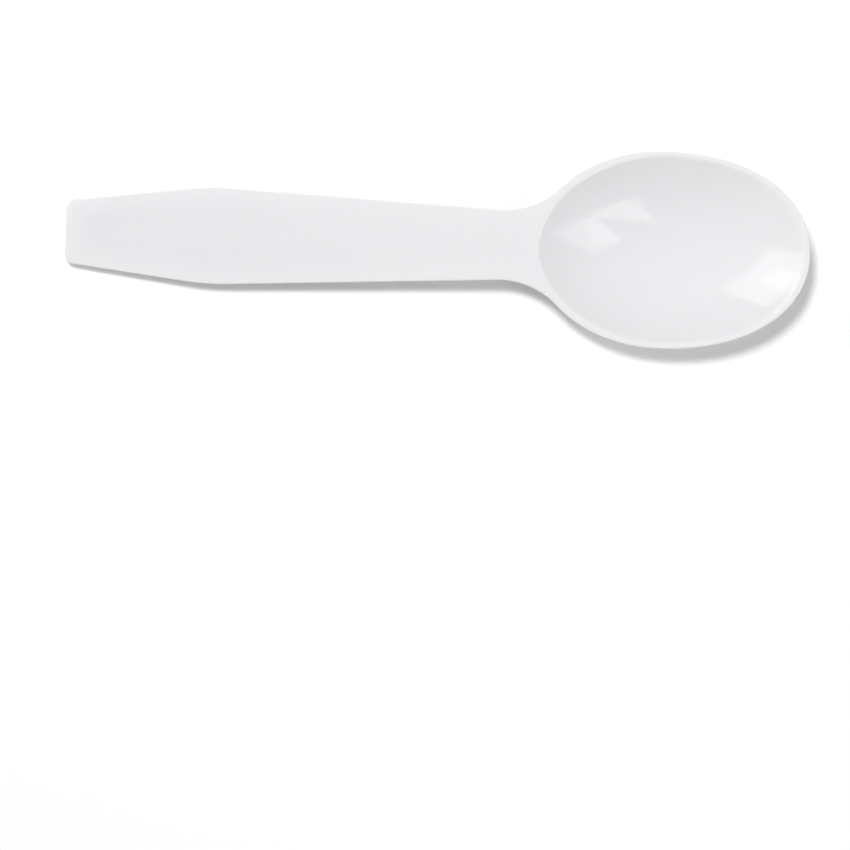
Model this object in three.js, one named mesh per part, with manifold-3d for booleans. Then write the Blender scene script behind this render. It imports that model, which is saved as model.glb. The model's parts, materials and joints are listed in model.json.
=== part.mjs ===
// Plastic taster spoon: one white injection moulding, lying face up as it rests on a table.
// The moulding is drawn with its rim plane at z = 0, x running from the handle's end to the bowl's tip.
// It is then tilted until the belly of the bowl and the foot of the handle's end both touch the table.
import * as THREE from "three";
import { mergeVertices, toCreasedNormals } from "three/addons/utils/BufferGeometryUtils.js";
import Module from "manifold-3d";

// Plan of the spoon, in millimetres
const HANDLE_LENGTH = 48; // from the handle's end to the heel, where the bowl begins
const BOWL_HEEL = 13.2; // from the heel to the widest place of the bowl
const BOWL_NOSE = 15; // from the widest place to the tip
const BOWL_WIDTH = 20.06;
const NOSE_FULLNESS = 2.15; // plan of the bowl ahead of its widest place: 2 is an ellipse
const HANDLE_END_WIDTH = 6.38;
const HANDLE_END_CORNER = 1;
const SHOULDER_STATION = 14.7; // the handle's widest place, measured from its end
const SHOULDER_WIDTH = 9.96; // where the two straight edges would meet
const SHOULDER_RADIUS = 27;
const NECK_WIDTH = 6.78; // of the straight taper, carried on to the heel
const NECK_RADIUS = 8.2; // concave sweep from the taper into the bowl

// Bowl: a shell whose cavity is a parabola in section and rolls over into a flat rim
const CAVITY_DEPTH = 4.6;
const BOWL_WALL = 0.85; // at the bottom
const BELLY_PROFILE = 0.85; // section of the belly: 0.5 is an ellipse, 1 a parabola
const RIM_SIDE = 0.28; // width of the flat rim beside the bowl, at its tip and at its heel
const RIM_NOSE = 0.24;
const RIM_HEEL = 0.24;
const RIM_ROLL = 0.34; // width of the roll beside the bowl
const RIM_LAND = 0.5; // height of the upright edge of the rim
const CAVITY_HEEL_FULLNESS = 1.85; // plan of the cavity behind its widest place
const PARTING_STEP = 0.05; // step at the parting line, where the belly meets the rim's upright edge

// Handle: an open channel, a flat top with a flange all round its underside
const HANDLE_THICKNESS = 0.8; // of the flat top, down to the recess floor
const FLANGE_DEPTH = 1.8; // from the flat top to the flange's foot
const FLANGE_WIDTH = 1.1; // of its foot, from the outline inwards
const FLANGE_WALL_RUN = 0.8; // width of its inner wall, which curves down into the recess floor
const END_WALL = 1.35; // foot of the wall that closes the channel at the handle's end
const END_WALL_RUN = 0.9; // width of that wall's inner side
const RECESS_CORNER = 0.5;
const HEEL_FILLET = 1; // radius where the recess floor turns down into the belly
const OUTER_DRAFT = 4.6; // degrees that the outer wall leans in, towards its foot
const WING_REACH = 10.4; // how far past the heel the flange runs on beside the bowl
const WING_RISE = 4.2; // length over which it then rises to the rim

// Spine: a rounded rib along the recess, from the end wall to a slim rounded point
const RIB_WIDTH = 1.2;
const RIB_HEIGHT = 0.5;
const RIB_POINT = 6; // length of its pointed end
const RIB_HEEL_GAP = 11.6; // from its point to the heel

// Small rounds along the edges
const EDGE_ROUND = 0.12; // round the flat top
const FOOT_ROUND = 0.3; // round the flange's foot

// Fineness of the facets
const ARC_STEPS = 10; // on a corner or a fillet
const QUARTER_STEPS = 22; // on a quarter of the bowl's outline
const BOWL_RINGS = 14; // from the rim to the bottom of the bowl
const RIB_RINGS = 5;
const FILLET_STEPS = 5;
const ROUND_STEPS = 3;
const ROLL_STEPS = 4;
const CREASE_ANGLE = 30; // degrees, above which an edge is shown sharp
const HALVINGS = 50; // in the search for the neck's sweep

// How far a cutter reaches past what it cuts, and a joined piece into its neighbour
const OVERSHOOT = 1;
const EMBED = 0.3;

const BOWL_STATION = HANDLE_LENGTH + BOWL_HEEL;
const TIP_STATION = BOWL_STATION + BOWL_NOSE;
const BOWL_DEPTH = CAVITY_DEPTH + BOWL_WALL;
const DRAFT_SLOPE = Math.tan(THREE.MathUtils.degToRad(OUTER_DRAFT));
const ELLIPSE = 2; // the fullness of a plain ellipse

const wasm = await Module();
wasm.setup();

const point = (x, y) => new THREE.Vector2(x, y);

// A closed geometry as a solid that can be joined and cut.
function solidOf(geometry) {
  geometry.deleteAttribute("normal");
  geometry.deleteAttribute("uv");
  const merged = mergeVertices(geometry);
  return new wasm.Manifold(
    new wasm.Mesh({
      numProp: 3,
      vertProperties: new Float32Array(merged.attributes.position.array),
      triVerts: new Uint32Array(merged.index.array),
    }),
  );
}

// A solid as a geometry, smooth over its curves and sharp at its edges.
function geometryOf(solid) {
  const mesh = solid.getMesh();
  const geometry = new THREE.BufferGeometry()
    .setAttribute("position", new THREE.BufferAttribute(mesh.vertProperties, 3))
    .setIndex(new THREE.BufferAttribute(mesh.triVerts, 1));
  return toCreasedNormals(geometry, THREE.MathUtils.degToRad(CREASE_ANGLE));
}

// The solid through a stack of level rings, from the top down. Each ring runs anticlockwise seen from
// above and all have as many points, but the last may be a single point.
function loft(rings) {
  const positions = rings.flat().flatMap((p) => [p.x, p.y, p.z]);
  const count = rings[0].length;
  const triangles = [];
  const cap = (ring, first, up) => {
    for (const [a, b, c] of THREE.ShapeUtils.triangulateShape(ring.map((p) => point(p.x, p.y)), [])) {
      triangles.push(first + a, first + (up ? b : c), first + (up ? c : b));
    }
  };
  cap(rings[0], 0, true);
  for (let level = 1; level < rings.length; level++) {
    const upper = (level - 1) * count;
    const lower = level * count;
    for (let i = 0; i < count; i++) {
      const next = (i + 1) % count;
      if (rings[level].length === 1) {
        triangles.push(upper + i, lower, upper + next);
      } else {
        triangles.push(lower + i, lower + next, upper + next);
        triangles.push(lower + i, upper + next, upper + i);
      }
    }
  }
  if (rings.at(-1).length > 1) {
    cap(rings.at(-1), (rings.length - 1) * count, false);
  }
  const geometry = new THREE.BufferGeometry()
    .setAttribute("position", new THREE.Float32BufferAttribute(positions, 3))
    .setIndex(triangles);
  return solidOf(geometry);
}

// One side of a symmetrical outline, from the handle's end to the tip, closed into a ring at height z.
function ring(side, z) {
  const back = side.filter((p) => p.y > 0).map((p) => point(p.x, -p.y));
  return [...back, ...side.toReversed()].map((p) => new THREE.Vector3(p.x, p.y, z));
}

// The line through two points, moved sideways by a distance.
function moved(from, to, distance) {
  const across = point(to.y - from.y, from.x - to.x).setLength(distance);
  return [from.clone().add(across), to.clone().add(across)];
}

// Where two lines, each through two points, cross.
function crossing([a, b], [c, d]) {
  const along = b.clone().sub(a);
  const other = d.clone().sub(c);
  return a.clone().addScaledVector(along, c.clone().sub(a).cross(other) / along.cross(other));
}

// The arc that rounds a corner which turns clockwise.
function cornerArc(before, corner, after, radius) {
  const back = before.clone().sub(corner).normalize();
  const ahead = after.clone().sub(corner).normalize();
  const half = Math.acos(back.dot(ahead)) / 2;
  const centre = back.clone().add(ahead).setLength(radius / Math.sin(half)).add(corner);
  const reach = radius / Math.tan(half);
  const start = back.multiplyScalar(reach).add(corner).sub(centre).angle();
  const end = ahead.multiplyScalar(reach).add(corner).sub(centre).angle();
  return new THREE.EllipseCurve(centre.x, centre.y, radius, radius, start, end, true);
}

// The straight edges of one side of the handle
const END_CORNER = point(0, HANDLE_END_WIDTH / 2);
const SHOULDER_CORNER = point(SHOULDER_STATION, SHOULDER_WIDTH / 2);
const NECK_CORNER = point(HANDLE_LENGTH, NECK_WIDTH / 2);

// The concave sweep of the neck touches the taper and the bowl's outline. Its place on the outline is
// found by halving: on from the heel, the sweep's centre climbs away from the taper.
function neckSweep() {
  const taper = NECK_CORNER.clone().sub(SHOULDER_CORNER);
  const taperNormal = point(-taper.y, taper.x).normalize();
  const at = (angle) => {
    const touch = point(BOWL_STATION + BOWL_HEEL * Math.cos(angle), (BOWL_WIDTH / 2) * Math.sin(angle));
    const normal = point(Math.cos(angle) / BOWL_HEEL, Math.sin(angle) / (BOWL_WIDTH / 2)).normalize();
    const centre = touch.addScaledVector(normal, NECK_RADIUS);
    return { angle, normal, centre, height: centre.clone().sub(NECK_CORNER).dot(taperNormal) };
  };
  let low = Math.PI;
  let high = Math.PI / 2;
  for (let step = 0; step < HALVINGS; step++) {
    const middle = (low + high) / 2;
    if (at(middle).height < NECK_RADIUS) {
      low = middle;
    } else {
      high = middle;
    }
  }
  return { ...at(high), taperNormal };
}
const NECK = neckSweep();

// One side of the handle and the rear of the bowl, from the middle of the handle's end to the bowl's
// widest place, moved in from the outline. The end may stand further in than the sides.
function rearSide(inset, end, corner) {
  const flare = moved(END_CORNER, SHOULDER_CORNER, inset);
  const taper = moved(SHOULDER_CORNER, NECK_CORNER, inset);
  const middle = point(end, 0);
  const endCorner = crossing([middle, point(end, HANDLE_END_WIDTH)], flare);
  const shoulder = crossing(flare, taper);
  const sweep = NECK_RADIUS + inset;
  const curves = [
    cornerArc(middle, endCorner, shoulder, corner),
    cornerArc(endCorner, shoulder, taper[1], SHOULDER_RADIUS - inset),
    new THREE.EllipseCurve(
      NECK.centre.x,
      NECK.centre.y,
      sweep,
      sweep,
      NECK.taperNormal.clone().negate().angle(),
      NECK.normal.clone().negate().angle(),
      false,
    ),
  ];
  const heel = new THREE.EllipseCurve(
    BOWL_STATION,
    0,
    BOWL_HEEL - inset,
    BOWL_WIDTH / 2 - inset,
    NECK.angle,
    Math.PI / 2,
    true,
  );
  const handle = curves.flatMap((curve) => curve.getPoints(ARC_STEPS));
  return [middle, ...handle, ...heel.getPoints(QUARTER_STEPS).slice(1)];
}

// A quarter of a bowl's plan, from its widest place to its end: ahead, or behind where the reach is
// negative.
function bowlQuarter(half, reach, fullness) {
  return Array.from({ length: QUARTER_STEPS + 1 }, (_, i) => {
    const angle = (Math.PI / 2) * (1 - i / QUARTER_STEPS);
    const along = Math.cos(angle) ** (2 / fullness);
    const across = Math.sin(angle) ** (2 / fullness);
    return point(BOWL_STATION + reach * along, half * across);
  });
}

// One side of the whole outline, moved in by a distance.
function outlineSide(inset) {
  const corner = Math.max(HANDLE_END_CORNER - inset, EDGE_ROUND);
  const nose = bowlQuarter(BOWL_WIDTH / 2 - inset, BOWL_NOSE - inset, NOSE_FULLNESS);
  return [...rearSide(inset, inset, corner), ...nose.slice(1)];
}

// Steps of a quarter round, from its flat side to its upright side, as shares of its radius.
const roundSteps = Array.from({ length: ROUND_STEPS + 1 }, (_, i) => {
  const angle = (i / ROUND_STEPS) * (Math.PI / 2);
  return { inset: 1 - Math.sin(angle), drop: 1 - Math.cos(angle) };
});

// The outline as a drafted block with rounded edges, as deep as the flange.
function outlineBlock() {
  const top = roundSteps.map(({ inset, drop }) => {
    return ring(outlineSide(EDGE_ROUND * inset), -EDGE_ROUND * drop);
  });
  const foot = roundSteps.toReversed().map(({ inset, drop }) => {
    const depth = FLANGE_DEPTH - FOOT_ROUND * drop;
    return ring(outlineSide(DRAFT_SLOPE * depth + FOOT_ROUND * inset), -depth);
  });
  return loft([...top, ...foot]);
}

// What is cut away below the rim: the flange's foot sweeps up beside the bowl to the rim's lower edge.
function belowRim() {
  const wingEnd = HANDLE_LENGTH + WING_REACH;
  const wingStart = wingEnd - WING_RISE;
  const below = -FLANGE_DEPTH - OVERSHOOT;
  const side = new THREE.Shape()
    .moveTo(wingStart, below)
    .lineTo(TIP_STATION + OVERSHOOT, below)
    .lineTo(TIP_STATION + OVERSHOOT, -RIM_LAND)
    .lineTo(wingEnd, -RIM_LAND)
    .quadraticCurveTo((wingStart + wingEnd) / 2, -FLANGE_DEPTH, wingStart, -FLANGE_DEPTH);
  const depth = BOWL_WIDTH + 2 * OVERSHOOT;
  const settings = { depth, bevelEnabled: false, curveSegments: ARC_STEPS };
  const geometry = new THREE.ExtrudeGeometry(side, settings);
  geometry.rotateX(Math.PI / 2).translate(0, depth / 2, 0);
  return solidOf(geometry);
}

// The spine rib: level slices of a half-round section, whose end is a slim half ellipse.
function spineRib() {
  const pointStart = HANDLE_LENGTH - RIB_HEEL_GAP - RIB_POINT;
  const slice = (share, z) => {
    const half = (RIB_WIDTH / 2) * share;
    const reach = RIB_POINT * share;
    const side = new THREE.EllipseCurve(pointStart, 0, reach, half, Math.PI / 2, 0, true);
    const curved = side.getPoints(ARC_STEPS).slice(0, -1);
    return ring([point(END_WALL, 0), point(END_WALL, half), ...curved, point(pointStart + reach, 0)], z);
  };
  const slices = [slice(1, -HANDLE_THICKNESS + EMBED)];
  for (let i = 0; i < RIB_RINGS; i++) {
    const angle = (i / RIB_RINGS) * (Math.PI / 2);
    slices.push(slice(Math.cos(angle), -HANDLE_THICKNESS - RIB_HEIGHT * Math.sin(angle)));
  }
  return loft(slices);
}

// One side of a bowl's plan from its heel to its tip, shrunk to a share of its size.
function bowlSide({ heel, nose, half, heelFullness }, share) {
  const behind = bowlQuarter(half * share, -heel * share, heelFullness);
  const ahead = bowlQuarter(half * share, nose * share, NOSE_FULLNESS);
  return [...behind.toReversed(), ...ahead.slice(1)];
}

// Shares of a bowl's size that lie closer together towards its rim.
const bowlShares = Array.from({ length: BOWL_RINGS }, (_, level) => {
  return Math.cos((level / BOWL_RINGS) * (Math.PI / 2));
});

// The rings of a bowl at the shares, and the single point at its bottom.
function bowlRings(plan, shares, depthAt) {
  const rings = shares.map((share) => ring(bowlSide(plan, share), -depthAt(share)));
  return [...rings, [new THREE.Vector3(BOWL_STATION, 0, -depthAt(0))]];
}

// The outside of the bowl, from within the rim down to its belly.
const BELLY_INSET = DRAFT_SLOPE * RIM_LAND + PARTING_STEP;
const BELLY = {
  heel: BOWL_HEEL - BELLY_INSET,
  nose: BOWL_NOSE - BELLY_INSET,
  half: BOWL_WIDTH / 2 - BELLY_INSET,
  heelFullness: ELLIPSE,
};

function belly() {
  const depthAt = (share) => RIM_LAND + (BOWL_DEPTH - RIM_LAND) * (1 - share ** 2) ** BELLY_PROFILE;
  const rings = bowlRings(BELLY, bowlShares, depthAt);
  return loft([ring(bowlSide(BELLY, 1), -RIM_LAND + EMBED), ...rings]);
}

// The size of the belly at a depth below the rim plane, as a share of its size at the rim.
function bellyShare(depth) {
  const down = (depth - RIM_LAND) / (BOWL_DEPTH - RIM_LAND);
  return Math.sqrt(1 - down ** (1 / BELLY_PROFILE));
}

// A slice of the belly below the rim plane, grown all round.
function bellySlice(depth, grow) {
  const share = bellyShare(depth);
  const plan = {
    heel: BELLY.heel * share + grow,
    nose: BELLY.nose * share + grow,
    half: BELLY.half * share + grow,
    heelFullness: ELLIPSE,
  };
  return bowlSide(plan, 1);
}

// The belly flared out to the recess floor by a concave round, which touches both.
function heelFlare() {
  const run = BELLY.heel * (bellyShare(HANDLE_THICKNESS) - bellyShare(FLANGE_DEPTH));
  const steepness = Math.atan2(FLANGE_DEPTH - HANDLE_THICKNESS, run);
  const reach = HEEL_FILLET * Math.tan(steepness / 2);
  const rings = [ring(bellySlice(HANDLE_THICKNESS, reach), -HANDLE_THICKNESS + EMBED)];
  for (let step = 0; step <= FILLET_STEPS; step++) {
    const angle = (step / FILLET_STEPS) * steepness;
    const drop = HEEL_FILLET * (1 - Math.cos(angle));
    const grow = reach + drop / Math.tan(steepness) - HEEL_FILLET * Math.sin(angle);
    rings.push(ring(bellySlice(HANDLE_THICKNESS + drop, grow), -HANDLE_THICKNESS - drop));
  }
  rings.push(ring(bellySlice(FLANGE_DEPTH, -EMBED), -FLANGE_DEPTH));
  return loft(rings);
}

// The recess under the handle. Its walls leave the floor smoothly and steepen up to the flange's edge. It
// runs on to the belly of the bowl, which closes it with a fillet.
function recess() {
  const slice = (share, depth) => {
    const inset = FLANGE_WIDTH + FLANGE_WALL_RUN * (1 - share);
    const end = END_WALL + END_WALL_RUN * (1 - share);
    return ring([...rearSide(inset, end, RECESS_CORNER), point(BOWL_STATION, 0)], -depth);
  };
  const slices = [];
  for (let step = 0; step <= FILLET_STEPS; step++) {
    const share = step / FILLET_STEPS;
    slices.push(slice(share, HANDLE_THICKNESS + (FLANGE_DEPTH - HANDLE_THICKNESS) * share ** 2));
  }
  slices.push(slice(1, FLANGE_DEPTH + OVERSHOOT));
  return loft(slices).subtract(heelFlare());
}

// The hollow of the bowl. The roll at its edge touches both the rim and the parabola.
function cavity() {
  const plan = {
    heel: BOWL_HEEL - RIM_HEEL,
    nose: BOWL_NOSE - RIM_NOSE,
    half: BOWL_WIDTH / 2 - RIM_SIDE,
    heelFullness: CAVITY_HEEL_FULLNESS,
  };
  const roll = RIM_ROLL / plan.half;
  const depthAt = (share) => {
    const rolled = (1 - share) ** 2 / roll;
    const parabola = 1 - share ** 2 / (1 - roll);
    return CAVITY_DEPTH * (share > 1 - roll ? rolled : parabola);
  };
  const rollShares = Array.from({ length: ROLL_STEPS }, (_, step) => 1 - (roll * step) / ROLL_STEPS);
  const inside = bowlShares.map((share) => share * (1 - roll));
  const rings = bowlRings(plan, [...rollShares, ...inside], depthAt);
  return loft([ring(bowlSide(plan, 1), OVERSHOOT), ...rings]);
}

// The slope at which the moulding lies: from the foot of the handle's end to the lowest place ahead.
function restSlope(geometry) {
  const position = geometry.getAttribute("position");
  const foot = DRAFT_SLOPE * FLANGE_DEPTH + FOOT_ROUND;
  let slope = 0;
  for (let i = 0; i < position.count; i++) {
    const ahead = position.getX(i) - foot;
    if (ahead > HANDLE_LENGTH) {
      slope = Math.min(slope, (position.getZ(i) + FLANGE_DEPTH) / ahead);
    }
  }
  return slope;
}

const channel = outlineBlock().subtract(belowRim()).subtract(recess()).add(spineRib());
const moulding = channel.add(belly()).subtract(cavity());

const polystyrene = new THREE.MeshStandardMaterial({ color: 0xf1f1ef, roughness: 0.28, metalness: 0 });
const spoon = new THREE.Mesh(geometryOf(moulding), polystyrene);
spoon.name = "spoon";
spoon.rotation.y = Math.atan(restSlope(spoon.geometry));

const part = new THREE.Group();
part.name = "taster_spoon";
part.add(spoon);

// The origin is on the table, under the middle of the spoon's length
part.updateMatrixWorld(true);
const box = new THREE.Box3().setFromObject(part, true);
spoon.position.set(-(box.min.x + box.max.x) / 2, 0, -box.min.z);

export default part;
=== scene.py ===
"""Plastic taster spoon: a fine smooth mesh of the moulding in glossy white plastic, on a white table.

The moulding is drawn in millimetres with its rim plane at z = 0, x running from the handle's end to the
bowl's tip. It is then tilted and set down where the CAD spoon lies.
"""

import json
import math

import bmesh
import bpy
import numpy as np
from mathutils import Matrix, Vector


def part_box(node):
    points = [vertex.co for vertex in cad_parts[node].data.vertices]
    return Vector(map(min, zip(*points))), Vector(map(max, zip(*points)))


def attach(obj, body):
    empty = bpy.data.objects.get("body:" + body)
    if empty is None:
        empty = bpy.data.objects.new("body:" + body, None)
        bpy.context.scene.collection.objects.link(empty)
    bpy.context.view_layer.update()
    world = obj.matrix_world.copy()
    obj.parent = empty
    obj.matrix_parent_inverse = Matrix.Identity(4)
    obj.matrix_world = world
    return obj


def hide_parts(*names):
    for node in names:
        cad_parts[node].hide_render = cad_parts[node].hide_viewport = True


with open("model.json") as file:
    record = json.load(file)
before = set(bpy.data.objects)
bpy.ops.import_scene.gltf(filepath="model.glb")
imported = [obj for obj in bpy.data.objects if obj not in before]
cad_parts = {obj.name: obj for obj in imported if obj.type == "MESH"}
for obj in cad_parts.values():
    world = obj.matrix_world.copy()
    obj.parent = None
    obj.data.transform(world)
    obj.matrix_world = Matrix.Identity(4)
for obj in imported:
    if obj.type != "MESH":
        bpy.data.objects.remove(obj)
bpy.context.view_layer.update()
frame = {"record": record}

MM = 0.001

# Plan of the spoon, in millimetres
HANDLE_LENGTH = 48.0
BOWL_HEEL = 13.2
BOWL_NOSE = 15.0
BOWL_WIDTH = 20.06
NOSE_FULLNESS = 2.15
ELLIPSE = 2.0
HANDLE_END_WIDTH = 6.38
HANDLE_END_CORNER = 1.0
SHOULDER_STATION = 14.7
SHOULDER_WIDTH = 9.96
SHOULDER_RADIUS = 27.0
NECK_WIDTH = 6.78
NECK_RADIUS = 8.2

# Bowl
CAVITY_DEPTH = 4.6
BOWL_WALL = 0.85
BELLY_PROFILE = 0.85
RIM_SIDE = 0.28
RIM_NOSE = 0.24
RIM_HEEL = 0.24
RIM_ROLL = 0.34
RIM_LAND = 0.5
CAVITY_HEEL_FULLNESS = 1.85
PARTING_STEP = 0.05

# Handle
HANDLE_THICKNESS = 0.8
FLANGE_DEPTH = 1.8
FLANGE_WIDTH = 1.1
FLANGE_WALL_RUN = 0.8
END_WALL = 1.35
END_WALL_RUN = 0.9
RECESS_CORNER = 0.5
DRAFT_SLOPE = math.tan(math.radians(4.6))
WING_REACH = 10.4
WING_RISE = 4.2
RIB_WIDTH = 1.2
RIB_HEIGHT = 0.5
RIB_POINT = 6.0
RIB_HEEL_GAP = 11.6
RIB_PROFILE = 0.9

# Rounds and fillets
EDGE_ROUND = 0.12
FOOT_ROUND = 0.38
RIM_FOOT_ROUND = 0.04
FLANGE_ROUND = 0.06
HEEL_FILLET = 0.25
WING_FILLET = 0.45
WING_END_FILLET = 0.9
WING_FADE = 3.0

BOWL_STATION = HANDLE_LENGTH + BOWL_HEEL
BOWL_DEPTH = CAVITY_DEPTH + BOWL_WALL

# Counts of mesh steps along the outline, from the handle's end to the tip, and across it
END_STEPS = 8
CORNER_STEPS = 10
FLARE_STEPS = 26
SHOULDER_STEPS = 10
TAPER_STEPS = 80
NECK_STEPS = 36
HEEL_STEPS = 48
NOSE_STEPS = 64
ROUND_STEPS = 6
WALL_STEPS = 4
FLANGE_STEPS = 22
INNER_STEPS = 26
CAVITY_STEPS = 30

# The strip along the middle of a face, where the loops of the mesh end
STRIP_HALF = 0.8
FOOT_STRIP = (2.8, 70.0)
CAVITY_STRIP = (54.0, 69.0)

# How the loops of the mesh crowd together towards an edge
FLANGE_CROWDING = 1.35
CAVITY_CROWDING = 2

# Where the loops of the flat top lie, from its outer edge at 0 to its inner side at 1
TOP_LOOPS = (0, 0.04, 0.96, 1)

# Points of the mesh that lie closer than this, in millimetres, become one
WELD_GAP = 1e-4

# Rounds in which a sought value settles, where one search starts, and values that keep divisions safe
SWEEP_ROUNDS = 50
SHARE_ROUNDS = 40
FIRST_SHARE = 0.5
SMALLEST_SHARE = 1e-6
SMALLEST_WIDTH = 1e-9

# White polystyrene: how it scatters light, its cloudiness between two colours, its uneven gloss, and the
# waviness and grain of its surface. Lengths are in metres, noise scales are per metre.
PLASTIC_IOR = 1.59
SCATTER_WEIGHT = 0.5
SCATTER_RADIUS = (1, 0.95, 0.9)
SCATTER_SCALE = 0.0015
CLOUD_DARK = (0.826, 0.828, 0.843, 1)
CLOUD_LIGHT = (0.834, 0.836, 0.851, 1)
CLOUD_RANGE = (0.3, 0.7)
CLOUD_NOISE = {"Scale": 90, "Detail": 3, "Roughness": 0.5}
HAZE_NOISE = {"Scale": 260, "Detail": 4, "Roughness": 0.6}
WAVE_NOISE = {"Scale": 160, "Detail": 1, "Roughness": 0.4}
GRAIN_NOISE = {"Scale": 2600, "Detail": 2, "Roughness": 0.5}
ROUGHNESS = {"To_Min": 0.085, "To_Max": 0.125}
WAVE_BUMP = {"Strength": 0.25, "Distance": 0.00004}
GRAIN_BUMP = {"Strength": 0.12, "Distance": 0.000008}

# White table, its size in metres
WHITE = (1, 1, 1, 1)
TABLE_SIZE = 6
TABLE_COLOUR = (0.98, 0.98, 0.98, 1)
TABLE_ROUGHNESS = 0.9
TABLE_SPECULAR = 0.1
TABLE_LIFT = {"To_Min": 0.0, "To_Max": 0.03}

# Camera: its place in metres, its lens and sensor in millimetres
CAMERA_PLACE = (-0.000511, -0.018617, 0.5)
CAMERA_ROLL = math.radians(1.93)
CAMERA_CLIP = 0.01
LENS = 205.7
SENSOR = 36.0

# Light. A lamp is seen from the spoon at an azimuth and elevation in degrees, and at a distance in metres.
# Its size is in metres and its power in watts. The bare lamps shine without showing up in the gloss.
SKY_STRENGTH = 0.25
BARE_LAMPS = {
    "key": {"seen": (118, 75, 0.7), "size": (0.11, 0.11), "power": 2.9},
    "fill": {"seen": (-90, 45, 0.7), "size": (0.5, 0.3), "power": 0.21},
}
SOFTBOXES = {
    "left_core": {"seen": (153.6, 29.5, 0.59), "size": (0.17, 0.12), "power": 0.068},
    "left_box": {"seen": (153, 33.5, 0.6), "size": (0.5, 0.21), "power": 0.51},
    "right_core": {"seen": (-25.7, 48.8, 0.59), "size": (0.12, 0.317), "power": 0.085, "roll": -35},
    "right_box": {"seen": (-16.8, 45.2, 0.6), "size": (0.259, 0.317), "power": 0.28, "roll": -30.5},
    "front_strip": {
        "seen": (-44.9, 40.3, 0.6),
        "size": (0.112, 0.801),
        "power": 0.4,
        "roll": -55.5,
        "look_at": (0.64, 0.05, 0.3),
    },
}


def unit(vector):
    return vector / np.hypot(*vector)


def cross(a, b):
    return a[0] * b[1] - a[1] * b[0]


def moved(start, end, distance):
    """The line through two points, moved sideways."""
    along = unit(end - start)
    across = np.array([along[1], -along[0]]) * distance
    return start + across, end + across


def crossing(first, second):
    """Where two lines, each through two points, cross."""
    along = first[1] - first[0]
    other = second[1] - second[0]
    return first[0] + along * cross(second[0] - first[0], other) / cross(along, other)


def arc(centre, radii, start, end, steps):
    angles = np.linspace(start, end, steps + 1)
    return np.asarray(centre) + np.column_stack([np.cos(angles), np.sin(angles)]) * radii


def corner_arc(before, corner, after, radius, steps):
    """The arc that rounds a corner which turns clockwise."""
    back = unit(before - corner)
    ahead = unit(after - corner)
    half = math.acos(back @ ahead) / 2
    centre = corner + unit(back + ahead) * radius / math.sin(half)
    reach = radius / math.tan(half)
    start, end = (
        math.atan2(*(corner + way * reach - centre)[::-1]) % math.tau for way in (back, ahead)
    )
    return arc(centre, radius, start, end, steps)


END_CORNER = np.array([0, HANDLE_END_WIDTH / 2])
SHOULDER_CORNER = np.array([SHOULDER_STATION, SHOULDER_WIDTH / 2])
NECK_CORNER = np.array([HANDLE_LENGTH, NECK_WIDTH / 2])


def neck_sweep():
    """Centre and ends of the concave sweep that touches the handle's taper and the bowl's outline."""
    taper = NECK_CORNER - SHOULDER_CORNER
    taper_normal = unit(np.array([-taper[1], taper[0]]))
    low, high = math.pi, math.pi / 2
    for _ in range(SWEEP_ROUNDS):
        angle = (low + high) / 2
        normal = unit(np.array([math.cos(angle) / BOWL_HEEL, math.sin(angle) / (BOWL_WIDTH / 2)]))
        touch = np.array([BOWL_STATION + BOWL_HEEL * math.cos(angle), BOWL_WIDTH / 2 * math.sin(angle)])
        centre = touch + normal * NECK_RADIUS
        if (centre - NECK_CORNER) @ taper_normal < NECK_RADIUS:
            low = angle
        else:
            high = angle
    start = math.atan2(*-taper_normal[::-1])
    end = math.atan2(*-normal[::-1])
    return centre, start, end, angle


NECK_CENTRE, NECK_START, NECK_END, HEEL_ANGLE = neck_sweep()


def straight(start, end, steps):
    """Points between two points, without the two ends."""
    return start + np.linspace(0, 1, steps + 1)[1:-1, None] * (end - start)


def nose_quarter(half, reach, fullness, steps):
    """A quarter of a bowl's plan, from its widest place to its end."""
    angles = np.linspace(math.pi / 2, 0, steps + 1)
    along = np.cos(angles).clip(0) ** (2 / fullness)
    across = np.sin(angles).clip(0) ** (2 / fullness)
    return np.column_stack([BOWL_STATION + reach * along, half * across])


def outline(inset, end, corner):
    """One side of the spoon's outline moved in, from the middle of the handle's end to the tip."""
    flare = moved(END_CORNER, SHOULDER_CORNER, inset)
    taper = moved(SHOULDER_CORNER, NECK_CORNER, inset)
    middle = np.array([end, 0.0])
    end_corner = crossing((middle, middle + [0, 1]), flare)
    shoulder = crossing(flare, taper)
    corner_round = corner_arc(middle, end_corner, shoulder, corner, CORNER_STEPS)
    shoulder_round = corner_arc(end_corner, shoulder, taper[1], SHOULDER_RADIUS - inset, SHOULDER_STEPS)
    sweep = arc(NECK_CENTRE, NECK_RADIUS + inset, NECK_START, NECK_END, NECK_STEPS)
    heel = arc(
        (BOWL_STATION, 0),
        (BOWL_HEEL - inset, BOWL_WIDTH / 2 - inset),
        HEEL_ANGLE,
        math.pi / 2,
        HEEL_STEPS,
    )
    nose = nose_quarter(BOWL_WIDTH / 2 - inset, BOWL_NOSE - inset, NOSE_FULLNESS, NOSE_STEPS)
    return np.vstack(
        [
            middle,
            straight(middle, corner_round[0], END_STEPS),
            corner_round,
            straight(corner_round[-1], shoulder_round[0], FLARE_STEPS),
            shoulder_round,
            straight(shoulder_round[-1], sweep[0], TAPER_STEPS),
            sweep,
            heel[1:],
            nose[1:],
        ]
    )


FLOOR_INSET = FLANGE_WIDTH + FLANGE_WALL_RUN
EDGE_LOOP = outline(0, 0, HANDLE_END_CORNER)
MOUTH_LOOP = outline(FLANGE_WIDTH, END_WALL, RECESS_CORNER)
FLOOR_LOOP = outline(FLOOR_INSET, END_WALL + END_WALL_RUN, RECESS_CORNER)
COUNT = len(EDGE_LOOP)
NECK_INDEX = END_STEPS + CORNER_STEPS + FLARE_STEPS + SHOULDER_STEPS + TAPER_STEPS


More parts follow.
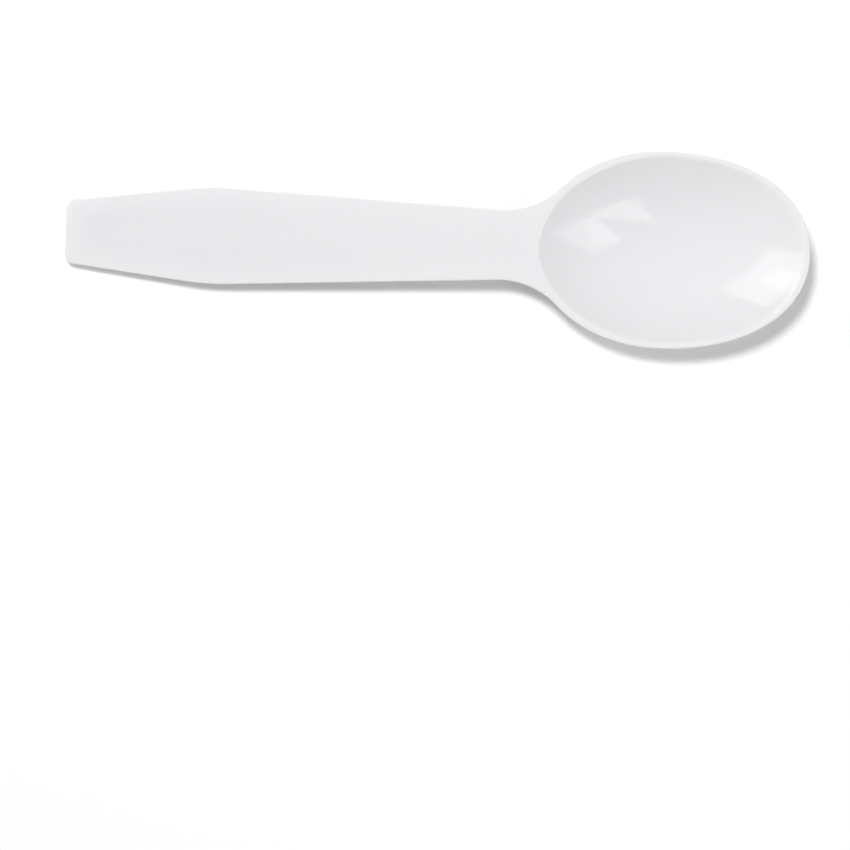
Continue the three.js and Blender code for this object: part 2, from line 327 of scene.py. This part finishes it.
def inset_loop(inset):
    """The outline moved in by a distance, which may differ from point to point."""
    inset = np.broadcast_to(inset, COUNT)[:, None]
    near = EDGE_LOOP + (MOUTH_LOOP - EDGE_LOOP) * inset / FLANGE_WIDTH
    far = MOUTH_LOOP + (FLOOR_LOOP - MOUTH_LOOP) * (inset - FLANGE_WIDTH) / (FLOOR_INSET - FLANGE_WIDTH)
    return np.where(inset < FLANGE_WIDTH, near, far)


def bowl_share(plan, x, y):
    """How far out a place lies in a bowl, from 0 at its middle to 1 at its rim.

    The heel and the nose of the rim are drawn apart, but further down they run into one smooth egg."""
    heel, nose, half, heel_fullness = plan
    along = x - BOWL_STATION
    share = np.full_like(along, FIRST_SHARE)
    for _ in range(SHARE_ROUNDS):
        rim = share.clip(0, 1) ** 2
        lean = np.clip(2 * along / (share.clip(SMALLEST_SHARE) * (heel + nose)), -1, 1)
        side = rim * np.sign(along) + (1 - rim) * np.sin(lean * math.pi / 2)
        reach = (heel + nose) / 2 + (nose - heel) / 2 * side
        fullness = ELLIPSE + rim * (np.where(along > 0, NOSE_FULLNESS, heel_fullness) - ELLIPSE)
        share = ((np.abs(along) / reach) ** fullness + (np.abs(y) / half) ** fullness) ** (1 / fullness)
    return share


BELLY_INSET = DRAFT_SLOPE * RIM_LAND + PARTING_STEP
BELLY = (BOWL_HEEL - BELLY_INSET, BOWL_NOSE - BELLY_INSET, BOWL_WIDTH / 2 - BELLY_INSET, ELLIPSE)
CAVITY = (BOWL_HEEL - RIM_HEEL, BOWL_NOSE - RIM_NOSE, BOWL_WIDTH / 2 - RIM_SIDE, CAVITY_HEEL_FULLNESS)
BELLY_HEIGHT = BOWL_DEPTH - RIM_LAND


def smooth_step(value):
    value = np.clip(value, 0, 1)
    return value * value * (3 - 2 * value)


def smooth_max(a, b, width):
    """The larger of two heights, with a fillet where they meet."""
    near = np.clip(width - np.abs(a - b), 0, None)
    return np.maximum(a, b) + near * near / (4 * np.maximum(width, SMALLEST_WIDTH))


def flange_depth(x):
    """Depth of the flange's foot, which rises to the rim's lower edge at the end of the wings."""
    wing_start = HANDLE_LENGTH + WING_REACH - WING_RISE
    rise = np.clip((x - wing_start) / WING_RISE, 0, 1) ** 2
    return FLANGE_DEPTH - (FLANGE_DEPTH - RIM_LAND) * rise


def fillet_width(x, wall):
    """Width of the fillet between belly and ground: small at the heel, wider where a wing runs out."""
    wing_end = HANDLE_LENGTH + WING_REACH
    rise = smooth_step((x - wing_end + WING_RISE) / WING_RISE)
    fade = 1 - smooth_step((x - wing_end) / WING_FADE)
    wing = WING_FILLET + (WING_END_FILLET - WING_FILLET) * rise
    return (HEEL_FILLET + (wing - HEEL_FILLET) * wall) * fade


def flange_wall(inset):
    """Height of the flange's inner wall, from 0 on the recess floor, which it leaves smoothly, to 1 at its
    foot, whose edge is a small round."""
    up = ((FLOOR_INSET - inset) / FLANGE_WALL_RUN).clip(0)
    return -smooth_max(-(up**2), -np.ones_like(up), 2 * FLANGE_ROUND / FLANGE_WALL_RUN)


def underside_depth(x, y, inset):
    """Depth of the underside below the rim plane."""
    wall = flange_wall(inset)
    point_start = HANDLE_LENGTH - RIB_HEEL_GAP - RIB_POINT
    rib_share = np.hypot(y / (RIB_WIDTH / 2), np.clip((x - point_start) / RIB_POINT, 0, None))
    rib = RIB_HEIGHT * (1 - rib_share.clip(0, 1) ** 2) ** RIB_PROFILE
    ground = HANDLE_THICKNESS + (flange_depth(x) - HANDLE_THICKNESS) * wall + rib * (1 - wall)
    share = bowl_share(BELLY, x, y).clip(0, 1)
    belly = RIM_LAND + BELLY_HEIGHT * (1 - share**2) ** BELLY_PROFILE
    return smooth_max(ground, belly, fillet_width(x, wall))


def quarter_round():
    """Steps of a quarter round from its flat side to its upright side, as shares of its radius."""
    angles = np.linspace(0, math.pi / 2, ROUND_STEPS + 1)
    return list(zip(1 - np.sin(angles), 1 - np.cos(angles)))


def strip_target(loop, strip, steps):
    """For each point of a half loop, the point where its line meets the strip along the middle."""
    start, end = strip
    across = np.linspace(0, STRIP_HALF, steps + 1)
    middle = loop[steps:-steps, 0]
    along = start + (end - start) * (middle - middle[0]) / (middle[-1] - middle[0])
    top = np.column_stack([along, np.full_like(along, STRIP_HALF)])
    left = np.column_stack([np.full(steps, start), across[:-1]])
    right = np.column_stack([np.full(steps, end), across[-2::-1]])
    return np.vstack([left, top, right])


def strip_rows(target, steps):
    """The rows of the strip itself, from its edge to the middle line."""
    along = target[steps:-steps, 0]
    rows = np.linspace(STRIP_HALF, 0, steps + 1)
    return np.stack([np.column_stack([along, np.full_like(along, row)]) for row in rows])


def raised(loops, depth):
    """Loops in plan with their depth, as points."""
    return np.concatenate([loops, -depth[..., None]], axis=-1)


def level(loop, depth):
    return np.column_stack([loop, np.broadcast_to(-np.asarray(depth, float), len(loop))])


def wall_patch():
    """From the flat top over its rounded edge, down the outer wall and round the flange's foot."""
    loops = [
        level(inset_loop(EDGE_ROUND * inset), EDGE_ROUND * drop) for inset, drop in quarter_round()
    ]
    flange = flange_depth(EDGE_LOOP[:, 0])
    left = (flange - RIM_LAND) / (FLANGE_DEPTH - RIM_LAND)
    radius = RIM_FOOT_ROUND + (FOOT_ROUND - RIM_FOOT_ROUND) * left
    foot_inset = DRAFT_SLOPE * flange + radius
    foot_loop = inset_loop(foot_inset)
    foot = underside_depth(foot_loop[:, 0], foot_loop[:, 1], foot_inset)
    for step in range(1, WALL_STEPS):
        depth = EDGE_ROUND + (foot - radius - EDGE_ROUND) * step / WALL_STEPS
        loops.append(level(inset_loop(DRAFT_SLOPE * depth), depth))
    for inset, drop in reversed(quarter_round()):
        depth = foot - radius * drop
        loops.append(level(inset_loop(DRAFT_SLOPE * flange + radius * inset), depth))
    return np.stack(loops), foot_inset


def underside_patches(foot_inset, foot_loop):
    """From the flange's foot to the strip along the middle, and that strip."""
    ramp = np.linspace(0, 1, FLANGE_STEPS + 1) ** FLANGE_CROWDING
    insets = [foot_inset + (FLOOR_INSET - foot_inset) * share for share in ramp]
    loops = [inset_loop(inset) for inset in insets]
    target = strip_target(FLOOR_LOOP, FOOT_STRIP, END_STEPS)
    for step in range(1, INNER_STEPS + 1):
        loops.append(FLOOR_LOOP + (target - FLOOR_LOOP) * step / INNER_STEPS)
        insets.append(np.full(COUNT, FLOOR_INSET))
    loops = np.stack(loops)
    around = raised(loops, underside_depth(loops[..., 0], loops[..., 1], np.stack(insets)))
    around[0] = foot_loop
    strip = strip_rows(target, END_STEPS)
    inset = np.full(strip.shape[:2], FLOOR_INSET)
    return around, raised(strip, underside_depth(strip[..., 0], strip[..., 1], inset))


def cavity_edge():
    """Half of the cavity's edge, from its heel to its nose, with as many points as the bowl's outline."""
    heel, nose, half, fullness = CAVITY
    behind = nose_quarter(half, -heel, fullness, NECK_STEPS + HEEL_STEPS)[::-1]
    return np.vstack([behind, nose_quarter(half, nose, NOSE_FULLNESS, NOSE_STEPS)[1:]])


def cavity_depth(share):
    """Depth of the cavity: a parabola, with a roll at its edge that touches the parabola and the rim."""
    roll = RIM_ROLL / CAVITY[2]
    share = share.clip(0, 1)
    rolled = (1 - share) ** 2 / roll
    parabola = 1 - share**2 / (1 - roll)
    return CAVITY_DEPTH * np.where(share > 1 - roll, rolled, parabola)


def top_patch(edge):
    """The flat top: the handle, and the rim round the cavity."""
    start = inset_loop(EDGE_ROUND)
    along = np.linspace(start[0, 0], edge[0, 0], NECK_INDEX + 1)[:-1]
    middle = np.column_stack([along, np.zeros_like(along)])
    end = np.vstack([middle, edge])
    return np.stack([level(start + (end - start) * share, 0) for share in TOP_LOOPS])


def cavity_patches():
    """The cavity, from its edge to the strip along its middle, and that strip."""
    edge = cavity_edge()
    target = strip_target(edge, CAVITY_STRIP, END_STEPS)

    def deep(plan):
        return raised(plan, cavity_depth(bowl_share(CAVITY, plan[..., 0], plan[..., 1])))

    loops = [level(edge, 0)]
    for step in range(1, CAVITY_STEPS + 1):
        loops.append(deep(edge + (target - edge) * (step / CAVITY_STEPS) ** CAVITY_CROWDING))
    return np.stack(loops), deep(strip_rows(target, END_STEPS))


def spoon_patches():
    wall, foot_inset = wall_patch()
    cavity, cavity_strip = cavity_patches()
    around, foot_strip = underside_patches(foot_inset, wall[-1])
    return [top_patch(cavity[0][:, :2]), wall, around, foot_strip, cavity, cavity_strip]


def spoon_mesh():
    """Both halves of the moulding as one closed mesh, in millimetres."""
    shape = bmesh.new()
    for patch in spoon_patches():
        for side in (1, -1):
            rows = [[shape.verts.new((x, side * y, z)) for x, y, z in row] for row in patch]
            for upper, lower in zip(rows, rows[1:]):
                for a, b, c, d in zip(upper, upper[1:], lower[1:], lower):
                    shape.faces.new((a, b, c, d))
    bmesh.ops.remove_doubles(shape, verts=shape.verts, dist=WELD_GAP)
    bmesh.ops.dissolve_degenerate(shape, edges=shape.edges, dist=WELD_GAP)
    bmesh.ops.recalc_face_normals(shape, faces=shape.faces)
    for face in shape.faces:
        face.smooth = True
    mesh = bpy.data.meshes.new("moulded_spoon")
    shape.to_mesh(mesh)
    shape.free()
    return mesh


def set_down(mesh):
    """Tilts the moulding as the CAD spoon lies: its flat top through the mount, its tip at the box's end."""
    mount = frame["record"]["mounts"][0]
    normal = Vector(mount["axis"]).normalized()
    along = Vector((0, 1, 0)).cross(normal)
    turn = Matrix((along, (0, 1, 0), normal)).transposed().to_4x4()
    mesh.transform(turn @ Matrix.Scale(MM, 4))
    tip = max(vertex.co.x for vertex in mesh.vertices)
    shift_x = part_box("spoon")[1].x - tip
    shift_z = (normal.dot(Vector(mount["pos_m"])) - normal.x * shift_x) / normal.z
    mesh.transform(Matrix.Translation((shift_x, 0, shift_z)))


def node(tree, kind, **inputs):
    """A shader node with values on its own sockets."""
    made = tree.nodes.new(kind)
    for name, value in inputs.items():
        made.inputs[name.replace("_", " ")].default_value = value
    return made


def white_plastic():
    """Glossy white polystyrene: faint cloudiness, uneven gloss and the slight waviness of a moulded face."""
    material = bpy.data.materials.new("white_polystyrene")
    material.use_nodes = True
    tree = material.node_tree
    shader = tree.nodes["Principled BSDF"]
    shader.inputs["IOR"].default_value = PLASTIC_IOR
    shader.inputs["Subsurface Weight"].default_value = SCATTER_WEIGHT
    shader.inputs["Subsurface Radius"].default_value = SCATTER_RADIUS
    shader.inputs["Subsurface Scale"].default_value = SCATTER_SCALE
    place = tree.nodes.new("ShaderNodeTexCoord")
    cloud = node(tree, "ShaderNodeTexNoise", **CLOUD_NOISE)
    tint = tree.nodes.new("ShaderNodeValToRGB")
    for stop, position, colour in zip(tint.color_ramp.elements, CLOUD_RANGE, (CLOUD_DARK, CLOUD_LIGHT)):
        stop.position = position
        stop.color = colour
    haze = node(tree, "ShaderNodeTexNoise", **HAZE_NOISE)
    gloss = node(tree, "ShaderNodeMapRange", **ROUGHNESS)
    wave = node(tree, "ShaderNodeTexNoise", **WAVE_NOISE)
    grain = node(tree, "ShaderNodeTexNoise", **GRAIN_NOISE)
    wave_bump = node(tree, "ShaderNodeBump", **WAVE_BUMP)
    grain_bump = node(tree, "ShaderNodeBump", **GRAIN_BUMP)
    links = tree.links
    for noise in (cloud, haze, wave, grain):
        links.new(place.outputs["Object"], noise.inputs["Vector"])
    links.new(cloud.outputs["Fac"], tint.inputs["Fac"])
    links.new(tint.outputs["Color"], shader.inputs["Base Color"])
    links.new(haze.outputs["Fac"], gloss.inputs["Value"])
    links.new(gloss.outputs["Result"], shader.inputs["Roughness"])
    links.new(wave.outputs["Fac"], wave_bump.inputs["Height"])
    links.new(grain.outputs["Fac"], grain_bump.inputs["Height"])
    links.new(wave_bump.outputs["Normal"], grain_bump.inputs["Normal"])
    links.new(grain_bump.outputs["Normal"], shader.inputs["Normal"])
    return material


def table_white():
    """A white table that the camera and the gloss see as plain white, and that keeps the shadow."""
    material = bpy.data.materials.new("table_white")
    material.use_nodes = True
    tree = material.node_tree
    shader = tree.nodes["Principled BSDF"]
    shader.inputs["Roughness"].default_value = TABLE_ROUGHNESS
    shader.inputs["Specular IOR Level"].default_value = TABLE_SPECULAR
    shader.inputs["Base Color"].default_value = TABLE_COLOUR
    shader.inputs["Emission Color"].default_value = WHITE
    path = tree.nodes.new("ShaderNodeLightPath")
    seen = tree.nodes.new("ShaderNodeMath")
    seen.operation = "MAXIMUM"
    lift = node(tree, "ShaderNodeMapRange", **TABLE_LIFT)
    tree.links.new(path.outputs["Is Camera Ray"], seen.inputs[0])
    tree.links.new(path.outputs["Is Glossy Ray"], seen.inputs[1])
    tree.links.new(seen.outputs["Value"], lift.inputs["Value"])
    tree.links.new(lift.outputs["Result"], shader.inputs["Emission Strength"])
    return material


def add_table():
    bpy.ops.mesh.primitive_plane_add(size=TABLE_SIZE, location=(0, 0, 0))
    table = bpy.context.object
    table.name = "table"
    table.data.materials.append(table_white())


def add_lamp(name, seen, size, power, roll=0, look_at=(0, 0, 0)):
    """A soft lamp seen from the spoon in a given direction. It looks at a place, rolled about that line."""
    azimuth, elevation, distance = seen
    data = bpy.data.lights.new(name, "AREA")
    data.shape = "RECTANGLE"
    data.size, data.size_y = size
    data.energy = power
    lamp = bpy.data.objects.new(name, data)
    bpy.context.scene.collection.objects.link(lamp)
    around, up = math.radians(azimuth), math.radians(elevation)
    way = Vector((math.cos(around) * math.cos(up), math.sin(around) * math.cos(up), math.sin(up)))
    lamp.location = way * distance
    facing = (lamp.location - Vector(look_at)).to_track_quat("Z", "Y").to_matrix()
    lamp.rotation_euler = (facing @ Matrix.Rotation(math.radians(roll), 3, "Z")).to_euler()
    return lamp


def add_world():
    world = bpy.data.worlds.new("studio")
    bpy.context.scene.world = world
    world.use_nodes = True
    world.node_tree.nodes["Background"].inputs["Color"].default_value = WHITE
    world.node_tree.nodes["Background"].inputs["Strength"].default_value = SKY_STRENGTH


def add_camera():
    data = bpy.data.cameras.new("camera")
    data.lens = LENS
    data.sensor_width = SENSOR
    data.clip_start = CAMERA_CLIP
    camera = bpy.data.objects.new("camera", data)
    bpy.context.scene.collection.objects.link(camera)
    camera.location = CAMERA_PLACE
    camera.rotation_euler = (0, 0, CAMERA_ROLL)
    bpy.context.scene.camera = camera


mesh = spoon_mesh()
set_down(mesh)
mesh.materials.append(white_plastic())
spoon = bpy.data.objects.new("moulded_spoon", mesh)
bpy.context.scene.collection.objects.link(spoon)
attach(spoon, "root")
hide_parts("spoon")

add_table()
add_world()
for name, lamp in BARE_LAMPS.items():
    add_lamp(name, **lamp).visible_glossy = False
for name, lamp in SOFTBOXES.items():
    add_lamp(name, **lamp)
add_camera()
bpy.context.scene.view_settings.view_transform = "Standard"
